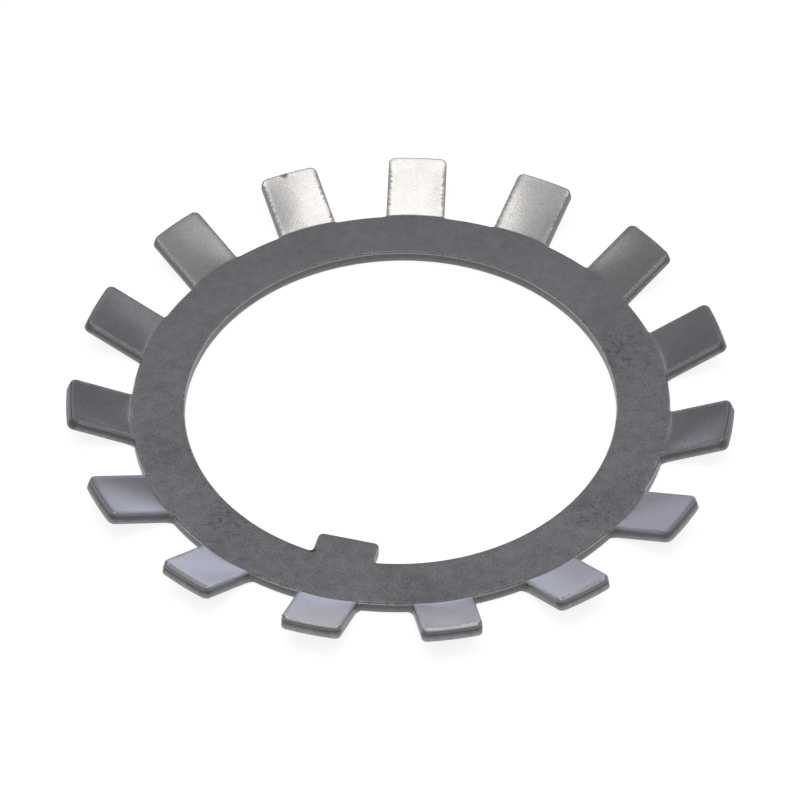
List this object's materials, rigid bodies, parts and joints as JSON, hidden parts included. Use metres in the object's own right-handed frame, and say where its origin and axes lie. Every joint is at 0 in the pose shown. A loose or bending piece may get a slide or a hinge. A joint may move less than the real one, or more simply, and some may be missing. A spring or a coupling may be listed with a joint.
{
  "type": "bearing lock washer",
  "caption": "Flat pressed-steel lock washer for a shaft nut: a ring with upturned outer tabs and one flat inner tab that keys into the shaft's groove.",
  "frame": {"origin": "centre of the bore at the ring's underside", "axes": "+Z along the bore, towards the side that the outer tabs are bent to; the inner tab points to -Y"},
  "size_m": [0.062, 0.0617, 0.0037],
  "materials": {
    "steel": "satin, barrel-tumbled and lightly oiled"
  },
  "bodies": {
    "root": {"lock_washer": "steel"}
  },
  "joints": []
}
